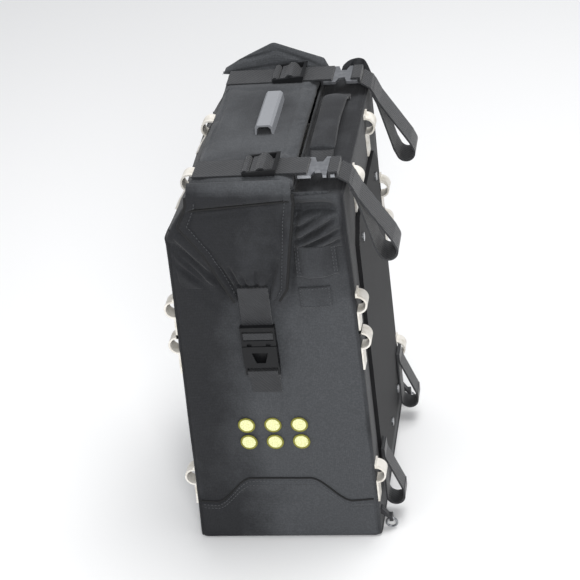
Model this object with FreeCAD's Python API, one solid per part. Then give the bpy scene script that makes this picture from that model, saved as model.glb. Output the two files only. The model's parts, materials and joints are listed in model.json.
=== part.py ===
"""Soft motorcycle saddlebag that hangs on an 18 mm tube side rack.

Frame, in millimetres: the origin is the centre of the flat base. +X points to the rack, so the
outer face of the bag is at -X. +Y points to the front of the motorcycle, and +Z is up.
The front end mirrors the rear end, apart from a gathered fold that stands on the roll.
Each function below makes one piece, or one group of like pieces.
"""

import FreeCAD, Part
import math
import os

V = FreeCAD.Vector

# ---- driving dimensions -------------------------------------------------------------------
HALF_LENGTH = 145.0        # rear and front end panels' outer faces, along Y
OUTER_X = -106.0           # outer face at the base
OUTER_TOP_X = -90.0        # outer face at the shoulder
INNER_X = 106.0            # rack-side face
WALL = 3.0                 # padded wall
BASE_THICK = 4.0
BODY_TOP = 445.0
SHOULDER_Z = 400.0         # where the outer wall starts to lean in
SHOULDER_X = -60.0         # where that lean meets the roll
ROLL_INNER_X = 55.0        # edge of the roll on the rack side
ROLL_BOTTOM = 450.0
ROLL_TOP = 466.0
TOP_STRIP_THICK = 3.0
CENTRE_X = -2.0            # middle of the end flap and its buckle
TUBE_RADIUS = 9.1          # loops close round an 18 mm rack tube
TOP_RAIL_X = 145.0         # the rack's upper rail stands off the bag
TOP_RAIL_Z = 371.0
BOTTOM_RAIL_X = 122.0      # its lower rail is close to it
BOTTOM_RAIL_Z = 32.0
WEBBING = 2.0              # webbing thickness
WIDE = 38.0                # wide webbing
NARROW = 25.0              # narrow webbing
STRAP_Y = -113.0           # middle of the rear top strap
PIPING_RADIUS = 2.5
GAP = 0.3                  # between pieces that only lie side by side

OUT = "parts"


# ---- helpers ------------------------------------------------------------------------------
def box(x0, x1, y0, y1, z0, z1):
    """A block between two corners."""
    return Part.makeBox(x1 - x0, y1 - y0, z1 - z0, V(x0, y0, z0))


def prism_y(points, y0, y1):
    """An outline in X and Z, extruded from y0 to y1."""
    corners = [V(x, y0, z) for x, z in points]
    return Part.Face(Part.makePolygon(corners + corners[:1])).extrude(V(0, y1 - y0, 0))


def prism_x(points, x0, x1):
    """An outline in Y and Z, extruded from x0 to x1."""
    corners = [V(x0, y, z) for y, z in points]
    return Part.Face(Part.makePolygon(corners + corners[:1])).extrude(V(x1 - x0, 0, 0))


def rod_x(radius, x0, x1, y, z):
    """A round bar along X."""
    return Part.makeCylinder(radius, x1 - x0, V(x0, y, z), V(1, 0, 0))


def rod_y(radius, x, y0, y1, z):
    """A round bar along Y."""
    return Part.makeCylinder(radius, y1 - y0, V(x, y0, z), V(0, 1, 0))


def sleeve_y(inner, outer, x, y0, y1, z):
    """A tube along Y."""
    return rod_y(outer, x, y0, y1, z).cut(rod_y(inner, x, y0, y1, z))


def join(*shapes):
    """One solid from pieces that share faces or volume."""
    made = shapes[0]
    for s in shapes[1:]:
        made = made.fuse(s)
    return made.removeSplitter()


OUTER_LEAN = math.degrees(math.atan2(OUTER_TOP_X - OUTER_X, SHOULDER_Z - BASE_THICK))


def onto_outer(shape):
    """Leans a piece made against an upright outer face, so that it lies on the real one."""
    leant = shape.copy()
    leant.rotate(V(OUTER_X, 0, BASE_THICK), V(0, 1, 0), OUTER_LEAN)
    return leant


def group(shapes):
    """Separate solids that share a node."""
    return Part.makeCompound(list(shapes))


def front(shape):
    """The same piece at the front end of the bag."""
    return shape.mirror(V(0, 0, 0), V(0, 1, 0))


def both_ends(shapes):
    """Each piece at the rear, and again at the front."""
    return list(shapes) + [front(s) for s in shapes]


def band(points, thickness, y0, y1):
    """Webbing that follows points in X and Z, centred on them, with mitred bends."""
    left, right = [], []
    for i, (x, z) in enumerate(points):
        before = points[max(i - 1, 0)]
        after = points[min(i + 1, len(points) - 1)]
        d_in = V(x - before[0], 0, z - before[1])
        d_out = V(after[0] - x, 0, after[1] - z)
        d_in = d_in.normalize() if d_in.Length > 0 else d_out.normalize()
        d_out = d_out.normalize() if d_out.Length > 0 else d_in
        middle = (d_in + d_out).normalize()
        reach = thickness / 2 / max(middle.dot(d_in), 0.3)
        left.append((x - middle.z * reach, z + middle.x * reach))
        right.append((x + middle.z * reach, z - middle.x * reach))
    return prism_y(left + right[::-1], y0, y1)


# ---- sewn shell ---------------------------------------------------------------------------
def base_panel():
    return box(OUTER_X, INNER_X, -HALF_LENGTH, HALF_LENGTH, 0, BASE_THICK)


def end_panel():
    """The rear end, with the corner cut off where the outer wall leans in."""
    outline = [(OUTER_X, BASE_THICK), (INNER_X, BASE_THICK), (INNER_X, BODY_TOP),
               (SHOULDER_X, BODY_TOP), (OUTER_TOP_X, SHOULDER_Z)]
    return prism_y(outline, -HALF_LENGTH, -HALF_LENGTH + WALL)


def outer_panel():
    """The outer wall, which leans in a little towards the top."""
    inside = HALF_LENGTH - WALL
    outline = [(OUTER_X, BASE_THICK), (OUTER_X + WALL, BASE_THICK),
               (OUTER_TOP_X + WALL, SHOULDER_Z), (OUTER_TOP_X, SHOULDER_Z)]
    return prism_y(outline, -inside, inside)


def shoulder_panel():
    """The leaning strip between the outer wall and the mouth."""
    inside = HALF_LENGTH - WALL
    outline = [(OUTER_TOP_X, SHOULDER_Z), (OUTER_TOP_X + WALL, SHOULDER_Z),
               (SHOULDER_X + WALL, BODY_TOP), (SHOULDER_X, BODY_TOP)]
    return prism_y(outline, -inside, inside)


def inner_panel():
    inside = HALF_LENGTH - WALL
    return box(INNER_X - WALL, INNER_X, -inside, inside, BASE_THICK, BODY_TOP)


def top_strip():
    """The fixed part of the top, beside the mouth, that carries the handle."""
    return box(ROLL_INNER_X, INNER_X, -HALF_LENGTH, HALF_LENGTH,
               BODY_TOP, BODY_TOP + TOP_STRIP_THICK)


def piping(x, top, corner_top, corner_bottom):
    """Piping cord round the edge of a side panel, as one closed loop of runs and arcs."""
    y = HALF_LENGTH - 2.0
    low = PIPING_RADIUS + 0.5
    wire_at = [(-y, low, corner_bottom), (-y, top, corner_top),
               (y, top, corner_top), (y, low, corner_bottom)]
    edges, ends = [], []
    for i, (cy, cz, r) in enumerate(wire_at):
        before, after = wire_at[i - 1], wire_at[(i + 1) % 4]
        corner = V(x, cy, cz)
        back = (V(x, before[0], before[1]) - corner).normalize()
        on = (V(x, after[0], after[1]) - corner).normalize()
        start, end = corner + back * r, corner + on * r
        middle = corner + (back + on) * r - (back + on).normalize() * r
        ends.append((start, end))
        edges.append(Part.Arc(start, middle, end).toShape())
    runs = [Part.LineSegment(ends[i][1], ends[(i + 1) % 4][0]).toShape() for i in range(4)]
    path = Part.Wire(Part.__sortEdges__(edges + runs))
    start = ends[0][1]
    section = Part.Wire(Part.Circle(start, V(0, 0, 1), PIPING_RADIUS).toShape())
    return path.makePipeShell([section], True, True)


# ---- inside -------------------------------------------------------------------------------
LINER_WALL = 1.0
BOARD = 2.0
LINER_TOP = 395.0
LINER_HALF_Y = 140.0
LINER_OUTER_X = -101.0
LINER_OUTER_TOP_X = -77.0


def liner():
    """The removable waterproof inner bag, open at the top."""
    low = BASE_THICK + BOARD
    x0, x1, x2 = LINER_OUTER_X, LINER_OUTER_TOP_X, INNER_X - WALL - BOARD
    whole = prism_y([(x0, low), (x2, low), (x2, LINER_TOP), (x1, LINER_TOP)],
                    -LINER_HALF_Y, LINER_HALF_Y)
    floor_z, w = low + LINER_WALL, LINER_WALL
    hollow = prism_y([(x0 + w, floor_z), (x2 - w, floor_z), (x2 - w, LINER_TOP + 1),
                      (x1 + w, LINER_TOP + 1)], -LINER_HALF_Y + w, LINER_HALF_Y - w)
    return whole.cut(hollow)


def base_board():
    return box(-96, 96, -135, 135, BASE_THICK, BASE_THICK + BOARD)


def back_board():
    return box(INNER_X - WALL - BOARD, INNER_X - WALL, -130, 130, 10, 390)


# ---- rack side ----------------------------------------------------------------------------
HARNESS_THICK = 4.6
HARNESS_HALF_Y = 100.0
HARNESS_BOTTOM = 40.0
HARNESS_TOP = 384.0


def harness_panel():
    """Stiff panel that lies against the rack hoop, with clipped corners."""
    y, cut = HARNESS_HALF_Y, 22.0
    outline = [(-y + cut, HARNESS_BOTTOM), (y - cut, HARNESS_BOTTOM), (y, HARNESS_BOTTOM + cut),
               (y, HARNESS_TOP - cut), (y - cut, HARNESS_TOP), (-y + cut, HARNESS_TOP),
               (-y, HARNESS_TOP - cut), (-y, HARNESS_BOTTOM + cut)]
    return prism_x(outline, INNER_X, INNER_X + HARNESS_THICK)


def harness_rivets():
    """Rivet heads, round the edge of the harness panel."""
    face = INNER_X + HARNESS_THICK
    heads = []
    for y in (-70.0, 0.0, 70.0):
        for z in (60.0, 355.0):
            head = Part.makeCylinder(5.0, 1.6, V(face, y, z), V(1, 0, 0))
            heads.append(head)
    return group(heads)


def tube_loop(x_axis, z_axis, y0, y1, top, side_top):
    """Webbing round a rack rail: under the tube, and up each side until the two sides meet.
    The wall-side leg is upright and ends at top; the other leans in from side_top."""
    outer = TUBE_RADIUS + WEBBING
    ring = sleeve_y(TUBE_RADIUS, outer, x_axis, y0, y1, z_axis)
    half = ring.cut(box(x_axis - 20, x_axis + 20, y0 - 1, y1 + 1, z_axis, z_axis + 20))
    wall_leg = box(x_axis - outer, x_axis - TUBE_RADIUS, y0, y1, z_axis, top)
    rack_leg = box(x_axis + TUBE_RADIUS, x_axis + outer, y0, y1, z_axis, side_top)
    return join(half, wall_leg, rack_leg)


def rack_strap():
    """From the eye at the hook, over the inner edge, and slantwise down round the top rail.
    The loop is made upright with the rail at the origin, and then turned to the slant."""
    y0, y1 = STRAP_Y - WIDE / 2, STRAP_Y + WIDE / 2
    edge = V(INNER_X + 6.5, 0, BODY_TOP + 5.5)
    run = edge - V(TOP_RAIL_X, 0, TOP_RAIL_Z)
    ring = sleeve_y(TUBE_RADIUS, TUBE_RADIUS + WEBBING, 0, y0, y1, 0)
    under = ring.cut(box(-20, 20, y0 - 1, y1 + 1, 0, 20))
    side, sewn = TUBE_RADIUS + WEBBING / 2, run.Length - 16
    outer_leg = band([(side, -0.2), (side, 10), (0.95, sewn), (0.95, run.Length)], WEBBING, y0, y1)
    inner_leg = band([(-side, -0.2), (-side, 10), (-0.95, sewn), (-0.95, run.Length - 4)],
                     WEBBING, y0, y1)
    loop = join(under, outer_leg, inner_leg)
    loop.rotate(V(0, 0, 0), V(0, 1, 0), math.degrees(math.atan2(run.x, run.z)))
    loop.translate(V(TOP_RAIL_X, 0, TOP_RAIL_Z))
    over = band([(edge.x + 1.6, edge.z - 2.0), (edge.x - 1.5, edge.z + 4.5), (101.8, 461.4)],
                WEBBING, y0, y1)
    return join(loop, over)


def rack_eye():
    """The eye at the strap's end, round the hook's tongue."""
    y0, y1 = STRAP_Y - WIDE / 2 + 1, STRAP_Y + WIDE / 2 - 2.4
    outside = box(90.6, 101.0, y0, y1, 460.6, 468.4)
    hole = box(92.6, 99.0, y0 - 1, y1 + 1, 462.6, 466.4)
    return outside.cut(hole)


BOTTOM_STRAP_Y = -98.0


def bottom_strap():
    """Narrow webbing round the bottom rail, sewn to the harness panel."""
    y0, y1 = BOTTOM_STRAP_Y - NARROW / 2, BOTTOM_STRAP_Y + NARROW / 2
    side_top = BOTTOM_RAIL_Z + 10
    loop = tube_loop(BOTTOM_RAIL_X, BOTTOM_RAIL_Z, y0, y1, 100.0, side_top)
    leg_x = BOTTOM_RAIL_X + TUBE_RADIUS + WEBBING / 2
    wall_x = BOTTOM_RAIL_X - TUBE_RADIUS - WEBBING / 2
    lean = band([(leg_x, side_top - 2), (wall_x + 2.2, 88.0), (wall_x + 1.9, 99.0)],
                WEBBING, y0, y1)
    return join(loop, lean)


RING_WIRE = 1.3
RING_X = 117.0
RING_Z = 8.6
RING_REACH = 6.0
RING_Y = -128.0


def bottom_ring():
    """Steel pull ring at the bottom corner, in the plane of X and Z."""
    return Part.makeTorus(RING_REACH, RING_WIRE, V(RING_X, RING_Y, RING_Z), V(0, 1, 0))


def ring_tab():
    """Tab that the ring hangs in, sewn to the panel."""
    pivot_z = RING_Z + RING_REACH
    eye = rod_x(4.0, RING_X - 2, RING_X + 2, RING_Y, pivot_z)
    hole = rod_x(2.0, RING_X - 3, RING_X + 3, RING_Y, pivot_z)
    arm = prism_y([(INNER_X, 24), (INNER_X, 31), (INNER_X + 2, 31), (RING_X - 2, 20.4),
                   (RING_X + 2, 20.4), (RING_X + 2, 17), (RING_X - 2, 17)],
                  RING_Y - 4, RING_Y + 4)
    return join(eye, arm).cut(hole)


# ---- lashing loops ------------------------------------------------------------------------
LOOP_WIDTH = 18.0
LOOP_BULGE = 9.0
LOOP_Y = 130.0             # the columns beside the vertical seams
LOOP_TOP_Y = 65.0          # the upper pair
LOOP_HEIGHTS = (301.0, 255.0, 75.0)
LOOP_TOP_Z = 416.0


def lashing_loop(y, z):
    """Coated strip on the rack side: a stem sewn flat, an arch that stands off, and a short tail."""
    y0, y1 = y - LOOP_WIDTH / 2, y + LOOP_WIDTH / 2
    face, middle = INNER_X, z + LOOP_BULGE
    stem = box(face, face + WEBBING, y0, y1, z - 28, z)
    tail = box(face, face + WEBBING, y0, y1, z + 2 * LOOP_BULGE, z + 2 * LOOP_BULGE + 5)
    arch = sleeve_y(LOOP_BULGE, LOOP_BULGE + WEBBING, face + 1, y0, y1, middle)
    arch = arch.cut(box(face - 20, face, y0 - 1, y1 + 1, z - 20, z + 40))
    return join(stem, arch, tail)


def inner_lashing_loops():
    loops = [lashing_loop(-LOOP_Y, z) for z in LOOP_HEIGHTS]
    loops.append(lashing_loop(-LOOP_TOP_Y, LOOP_TOP_Z))
    return group(both_ends(loops))


def outer_lashing_loops():
    """The same loops on the outer face; the upper pair lies on the leaning shoulder."""
    loops = [lashing_loop(-LOOP_Y, z) for z in LOOP_HEIGHTS]
    loops = [onto_outer(s.mirror(V(0, 0, 0), V(1, 0, 0))) for s in loops]
    lean = math.degrees(math.atan2(SHOULDER_X - OUTER_TOP_X, BODY_TOP - SHOULDER_Z))
    upper = lashing_loop(-LOOP_TOP_Y, 27.0).mirror(V(0, 0, 0), V(1, 0, 0))
    upper.translate(V(INNER_X, 0, 0))
    upper.rotate(V(0, 0, 0), V(0, 1, 0), lean)
    upper.translate(V(OUTER_TOP_X, 0, SHOULDER_Z))
    loops.append(upper)
    return group(both_ends(loops))


# ---- carry handle -------------------------------------------------------------------------
HANDLE_X = 76.0
HANDLE_PIVOT_Z = 450.0
GRIP_HALF = 60.0
ANCHOR_Y = 80.0


def handle_grip():
    """Padded sleeve, an oval in section, round the handle's webbing."""
    section = Part.Ellipse(V(HANDLE_X, -GRIP_HALF, 461.0), 14.0, 7.5)
    section.Axis = V(0, 1, 0)
    face = Part.Face(Part.Wire(section.toShape()))
    whole = face.extrude(V(0, 2 * GRIP_HALF, 0))
    slot = box(HANDLE_X - NARROW / 2, HANDLE_X + NARROW / 2, -GRIP_HALF - 1, GRIP_HALF + 1, 460, 462)
    return whole.cut(slot)


def handle_webbing():
    """Strip through the grip that dips to the sewn tab at each end."""
    x0, x1 = HANDLE_X - NARROW / 2, HANDLE_X + NARROW / 2
    top = [(-GRIP_HALF - 1, 462), (GRIP_HALF + 1, 462), (ANCHOR_Y - 1, HANDLE_PIVOT_Z + 2.2),
           (ANCHOR_Y - 3.4, HANDLE_PIVOT_Z + 1.2), (GRIP_HALF + 1, 460), (-GRIP_HALF - 1, 460),
           (-ANCHOR_Y + 3.4, HANDLE_PIVOT_Z + 1.2), (-ANCHOR_Y + 1, HANDLE_PIVOT_Z + 2.2)]
    strip = prism_x(top, x0, x1)
    return strip


def handle_anchors():
    """Sewn tabs that the handle's webbing runs into."""
    tabs = []
    for side in (-1, 1):
        y0, y1 = sorted((side * (ANCHOR_Y + 0.4), side * (ANCHOR_Y + 7.0)))
        tabs.append(box(HANDLE_X - NARROW / 2 - 1, HANDLE_X + NARROW / 2 + 1, y0, y1,
                        BODY_TOP + TOP_STRIP_THICK, HANDLE_PIVOT_Z + 3.0))
    return group(tabs)


# ---- roll-top -----------------------------------------------------------------------------
def throat():
    """The mouth's fabric sleeve, folded flat under the roll."""
    inside = HALF_LENGTH - WALL
    whole = box(SHOULDER_X, ROLL_INNER_X, -inside, inside, BODY_TOP, ROLL_BOTTOM)
    hollow = box(SHOULDER_X + WEBBING, ROLL_INNER_X - WEBBING, -inside + WEBBING, inside - WEBBING,
                 BODY_TOP - 1, ROLL_BOTTOM + 1)
    return whole.cut(hollow)


BATTENS = ((-42.0, -6.0), (2.0, 38.0))
BATTEN_Z = (456.0, 458.0)
BATTEN_HALF = 128.0


def battens():
    """Stiffening strips in the two lips of the mouth."""
    return [box(x0, x1, -BATTEN_HALF, BATTEN_HALF, *BATTEN_Z) for x0, x1 in BATTENS]


def roll():
    """The rolled mouth, flat on top, with round long edges."""
    end = HALF_LENGTH - 2
    whole = box(SHOULDER_X, ROLL_INNER_X, -end, end, ROLL_BOTTOM, ROLL_TOP)
    long_edges = [e for e in whole.Edges if abs(e.Length - 2 * end) < 0.1]
    whole = whole.makeFillet(5.0, long_edges)
    for strip in battens():
        whole = whole.cut(strip)
    return whole


def end_fold():
    """The gathered fabric that stands up at the front end of the roll, beyond the strap."""
    outline = [(-54, ROLL_TOP), (49, ROLL_TOP), (50, 472), (-4, 491), (-54, 476)]
    return front(prism_y(outline, -HALF_LENGTH + 2, STRAP_Y - WIDE / 2 - 3))


KEEPER_X = 10.0            # middle of the keeper
KEEPER_HALF = 10.5         # half its width
KEEPER_TOP = 478.0


def top_loop():
    """Light webbing keeper along the middle of the roll: a low tunnel, open at both ends."""
    def arch(half, top):
        return [(KEEPER_X - half, ROLL_TOP), (KEEPER_X - half + 1, top - 2.5),
                (KEEPER_X - half + 3.5, top), (KEEPER_X + half - 3.5, top),
                (KEEPER_X + half - 1, top - 2.5), (KEEPER_X + half, ROLL_TOP)]
    outside = prism_y(arch(KEEPER_HALF, KEEPER_TOP), -36, 50)
    return outside.cut(prism_y(arch(KEEPER_HALF - WEBBING, KEEPER_TOP - WEBBING), -37, 51))


LOCK_BAR_X = 3.0
LOCK_BAR_Z = 469.6


def lock_tab():
    """Webbing sewn to the roll, with a sleeve round the ladder lock's anchor bar."""
    y0, y1 = STRAP_Y - WIDE / 2 + 1.4, STRAP_Y + WIDE / 2 - 1.4
    flat = box(SHOULDER_X + 6, LOCK_BAR_X - 2.6, y0, y1, ROLL_TOP, ROLL_TOP + WEBBING)
    sleeve = rod_y(3.5, LOCK_BAR_X, y0, y1, LOCK_BAR_Z)
    return join(flat, sleeve).cut(rod_y(2.5, LOCK_BAR_X, y0 - 1, y1 + 1, LOCK_BAR_Z))


HOOK_Z = (463.0, 466.0)


def ladder_lock():
    """Moulded adjuster: a frame with a round anchor bar, a middle bar and a raised lip."""
    y0, y1 = STRAP_Y - WIDE / 2 - 2, STRAP_Y + WIDE / 2 + 2
    left, right = LOCK_BAR_X - 2.2, LOCK_BAR_X + 32
    low, high = 467.4, 472.4
    sides = [prism_y([(left, 468.2), (left + 2, low), (right, low), (right + 2, high + 2),
                      (right - 2, high + 2), (left + 4, high - 0.6), (left, high - 1.6)], a, b)
             for a, b in ((y0, y0 + 3), (y1 - 3, y1))]
    anchor = rod_y(2.2, LOCK_BAR_X, y0, y1, LOCK_BAR_Z)
    middle = box(LOCK_BAR_X + 15, LOCK_BAR_X + 19, y0, y1, 469.4, 472.4)
    lip = prism_y([(right - 4, 469.4), (right, 469.4), (right + 2, high + 2), (right - 2, high + 2)],
                  y0, y1)
    return join(anchor, sides[0], sides[1], middle, lip)


def top_strap():
    """Webbing from the ladder lock to the hook's bar, with its tail lying on the roll."""
    y0, y1 = STRAP_Y - WIDE / 2 + 1.4, STRAP_Y + WIDE / 2 - 1.4
    bar = LOCK_BAR_X
    flat = band([(bar + 24.0, 467.4), (56.5, 467.4)], WEBBING, y0, y1)
    eye = box(56.0, 68.2, y0, y1, 460.6, 468.4).cut(box(58.0, 66.2, y0 - 1, y1 + 1, 462.6, 466.4))
    threaded = band([(bar + 24.6, 467.4), (bar + 23.2, 470.6), (bar + 19.6, 474.6),
                     (bar + 16.0, 474.8), (bar + 11.4, 471.2), (bar + 5.4, 470.0)], WEBBING, y0, y1)
    return join(flat, eye, threaded)


def hook():
    """Flat aluminium hook: a bar in the strap's eye, a waist, and an open slot with a tongue."""
    y0, y1 = STRAP_Y - WIDE / 2 - 2, STRAP_Y + WIDE / 2 + 2
    low, high = HOOK_Z
    plate = box(59.0, 98.0, y0, y1, low, high)
    strap_slot = box(65.4, 69.0, y0 + 3, y1 - 3, low - 1, high + 1)
    open_slot = box(89.4, 93.6, y0 - 1, y1 - 4, low - 1, high + 1)
    waist = []
    for edge, way in ((y0, 1), (y1, -1)):
        outline = [V(73.0, edge, low - 1), V(76.0, edge + way * 11, low - 1),
                   V(82.5, edge + way * 11, low - 1), V(85.5, edge, low - 1)]
        face = Part.Face(Part.makePolygon(outline + outline[:1]))
        waist.append(face.extrude(V(0, 0, high - low + 2)))
    for s in [strap_slot, open_slot] + waist:
        plate = plate.cut(s)
    return plate


# ---- end flap and its buckle --------------------------------------------------------------
PANEL_Y = -HALF_LENGTH
FLAP_OUT = -149.0
BUCKLE_HALF = 19.0
SPLIT_Z = 272.0            # where the two halves of the buckle meet
PRONG_ROOT_Z = 274.0
PRONG_X = 10.5             # prong root, each side of the buckle's middle
PRONG_ROOT_R = 2.6


def flap():
    """The end of the roll folded down into a triangle that narrows to the webbing."""
    outline = [(-58, 443.6), (-72, 420), (-24, 326), (24, 326), (35, 340), (42.5, 386),
               (53, 443.6)]
    return prism_y(outline, FLAP_OUT, PANEL_Y - 0.6)


def flap_webbing():
    """Wide webbing sewn down the middle of the flap and folded round the bar of the buckle."""
    x0, x1 = CENTRE_X - 16.6, CENTRE_X + 16.6
    strip = box(x0, x1, FLAP_OUT - WEBBING, FLAP_OUT, 286, 342)
    wrap = box(x0, x1, -157.0, FLAP_OUT, 280.4, 288.6).cut(
        box(x0 - 1, x1 + 1, -155.2, -150.8, 282.2, 286.8))
    return join(strip, wrap)


def buckle_male():
    """Upper half: a frame whose bar takes the flap's webbing, and sockets for two prongs."""
    x0, x1 = CENTRE_X - BUCKLE_HALF, CENTRE_X + BUCKLE_HALF
    sides = [box(a, b, -157.4, -149.6, SPLIT_Z + 0.6, 296)
             for a, b in ((x0, x0 + 2), (x1 - 2, x1))]
    shoulder = box(x0, x1, -157.4, -149.6, SPLIT_Z + 0.6, 279.6)
    bar = box(x0, x1, -155, -151, 282.4, 286.6)
    top = box(x0, x1, -157.4, -151.4, 291, 296)
    whole = join(*sides, shoulder, bar, top)
    for side in (-1, 1):
        x = CENTRE_X + side * PRONG_X
        whole = whole.cut(rod_y(PRONG_ROOT_R + 0.06, x, -160, -147, PRONG_ROOT_Z))
        whole = whole.cut(box(x - 2.2, x + 2.2, -160, -147, SPLIT_Z, PRONG_ROOT_Z))
    return whole


def prong(side):
    """One spring arm with a round root and a barb that shows in the window."""
    x = CENTRE_X + side * PRONG_X
    root = rod_y(PRONG_ROOT_R, x, -155.6, -150.2, PRONG_ROOT_Z)
    out = side * 1.0
    arm = [(x - 1.7, PRONG_ROOT_Z), (x + 1.7, PRONG_ROOT_Z), (x + 1.7 + out, 262), (x + 1.7, 249),
           (x - 1.7, 249), (x - 1.7 + out, 262)]
    barb = [(x + side * 1.0, 259.6), (x + side * 7.4, 259.6), (x + side * 7.2, 256),
            (x + side * 3.0, 248.6), (x + side * 0.4, 248.6)]
    return join(root, prism_y(arm, -155.6, -150.2), prism_y(barb, -155.6, -150.2))


def buckle_female():
    """Lower half: a flat box, open at the top, with a window in each side and an anchor bar."""
    x0, x1 = CENTRE_X - BUCKLE_HALF, CENTRE_X + BUCKLE_HALF
    whole = box(x0, x1, -158, -147.8, 245, SPLIT_Z)
    hollow = box(x0 + 2.4, x1 - 2.4, -156.2, -149.6, 247, SPLIT_Z + 1)
    windows = box(x0 - 1, x1 + 1, -156.2, -149.6, 247.6, 260.6)
    legs = [box(a, b, -155.2, -149.6, 234, 245) for a, b in ((x0, x0 + 2.2), (x1 - 2.2, x1))]
    bar = box(x0, x1, -155, -151, 234, 237.6)
    relief = prism_y([(CENTRE_X - 9, 264), (CENTRE_X + 9, 264), (CENTRE_X + 5, 251),
                      (CENTRE_X - 5, 251)], -159, -156)
    return join(whole.cut(hollow).cut(windows).cut(relief), *legs, bar)


def anchor_webbing():
    """Webbing sewn to the end panel and folded round the lower bar."""
    x0, x1 = CENTRE_X - 16.4, CENTRE_X + 16.4
    wrap = box(x0, x1, -157, -148.8, 231.8, 239.8).cut(
        box(x0 - 1, x1 + 1, -155.2, -150.8, 233.8, 237.8))
    fold = box(x0, x1, -148.8, PANEL_Y, 223, 239.8)
    tab = box(x0, x1, PANEL_Y - WEBBING, PANEL_Y, 206, 223)
    return join(wrap, fold, tab)


# ---- trim on the end panel ----------------------------------------------------------------
def end_grab():
    """Wide webbing loop that stands off the end panel beside the flap."""
    x0, x1, z0, z1 = 47.0, 92.0, 352.0, 390.0
    outline = [V(x0, PANEL_Y, z0), V(x0 + 5, PANEL_Y, z0), V(x0 + 9, -150.5, z0),
               V(x1 - 9, -150.5, z0), V(x1 - 5, PANEL_Y, z0), V(x1, PANEL_Y, z0),
               V(x1, PANEL_Y - WEBBING, z0), V(x1 - 4, PANEL_Y - WEBBING, z0),
               V(x1 - 8, -152.5, z0), V(x0 + 8, -152.5, z0), V(x0 + 4, PANEL_Y - WEBBING, z0),
               V(x0, PANEL_Y - WEBBING, z0)]
    return Part.Face(Part.makePolygon(outline + outline[:1])).extrude(V(0, 0, z1 - z0))


def label_patch():
    return box(47, 81, PANEL_Y - 0.8, PANEL_Y, 311, 337)


def reflective_dots():
    """Two rows of three round reflectors."""
    dots = []
    for x in (-32.0, -2.0, 28.0):
        for z in (160.0, 137.0):
            dots.append(Part.makeCylinder(8.0, 0.8, V(x, PANEL_Y - 0.8, z), V(0, 1, 0)))
    return group(dots)


# ---- every node ---------------------------------------------------------------------------
def nodes():
    """Node name to shape."""
    made = {
        "base_panel": base_panel(),
        "rear_panel": end_panel(),
        "front_panel": front(end_panel()),
        "outer_panel": outer_panel(),
        "shoulder_panel": shoulder_panel(),
        "inner_panel": inner_panel(),
        "top_strip": top_strip(),
        "outer_piping": onto_outer(piping(OUTER_X - PIPING_RADIUS - GAP, SHOULDER_Z - 3, 24, 14)),
        "inner_piping": piping(INNER_X + PIPING_RADIUS + GAP, BODY_TOP - 1, 24, 14),
        "liner": liner(),
        "base_board": base_board(),
        "back_board": back_board(),
        "harness_panel": harness_panel(),
        "harness_rivets": harness_rivets(),
        "inner_lashing_loops": inner_lashing_loops(),
        "outer_lashing_loops": outer_lashing_loops(),
        "ring_tabs": group(both_ends([ring_tab()])),
        "handle_grip": handle_grip(),
        "handle_webbing": handle_webbing(),
        "handle_anchors": handle_anchors(),
        "throat": throat(),
        "roll": roll(),
        "roll_battens": group(battens()),
        "end_fold": end_fold(),
        "top_loop": top_loop(),
        "lock_tabs": group(both_ends([lock_tab()])),
        "reflective_dots": group(both_ends([reflective_dots()])),
        "label_patches": group(both_ends([label_patch()])),
        "end_grabs": group(both_ends([end_grab()])),
    }
    pairs = {
        "rack_strap": rack_strap(),
        "rack_eye": rack_eye(),
        "bottom_strap": bottom_strap(),
        "bottom_ring": bottom_ring(),
        "ladder_lock": ladder_lock(),
        "top_strap": top_strap(),
        "hook": hook(),
        "flap": flap(),
        "flap_webbing": flap_webbing(),
        "buckle_male": buckle_male(),
        "buckle_female": buckle_female(),
        "anchor_webbing": anchor_webbing(),
        "prong_outer": prong(-1),
        "prong_inner": prong(1),
    }
    for name, shape in pairs.items():
        made["rear_" + name] = shape
        made["front_" + name] = front(shape)
    return made


os.makedirs(OUT, exist_ok=True)
for node, shape in nodes().items():
    solids = shape.Solids
    bad = [s for s in solids if not s.isValid() or s.Volume <= 0]
    if not solids or bad:
        raise ValueError(f"{node} has {len(solids)} solids, {len(bad)} of them bad")
    shape.exportStep(os.path.join(OUT, node + ".step"))
    print(node, len(solids), round(shape.Volume / 1000, 2), "cm3")
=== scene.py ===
"""A soft motorcycle saddlebag, dressed over its fixed frame. Metres, +Z up, rack side at +X."""
import json
import bpy
import bmesh
import numpy as np
from mathutils import Matrix, Vector


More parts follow.
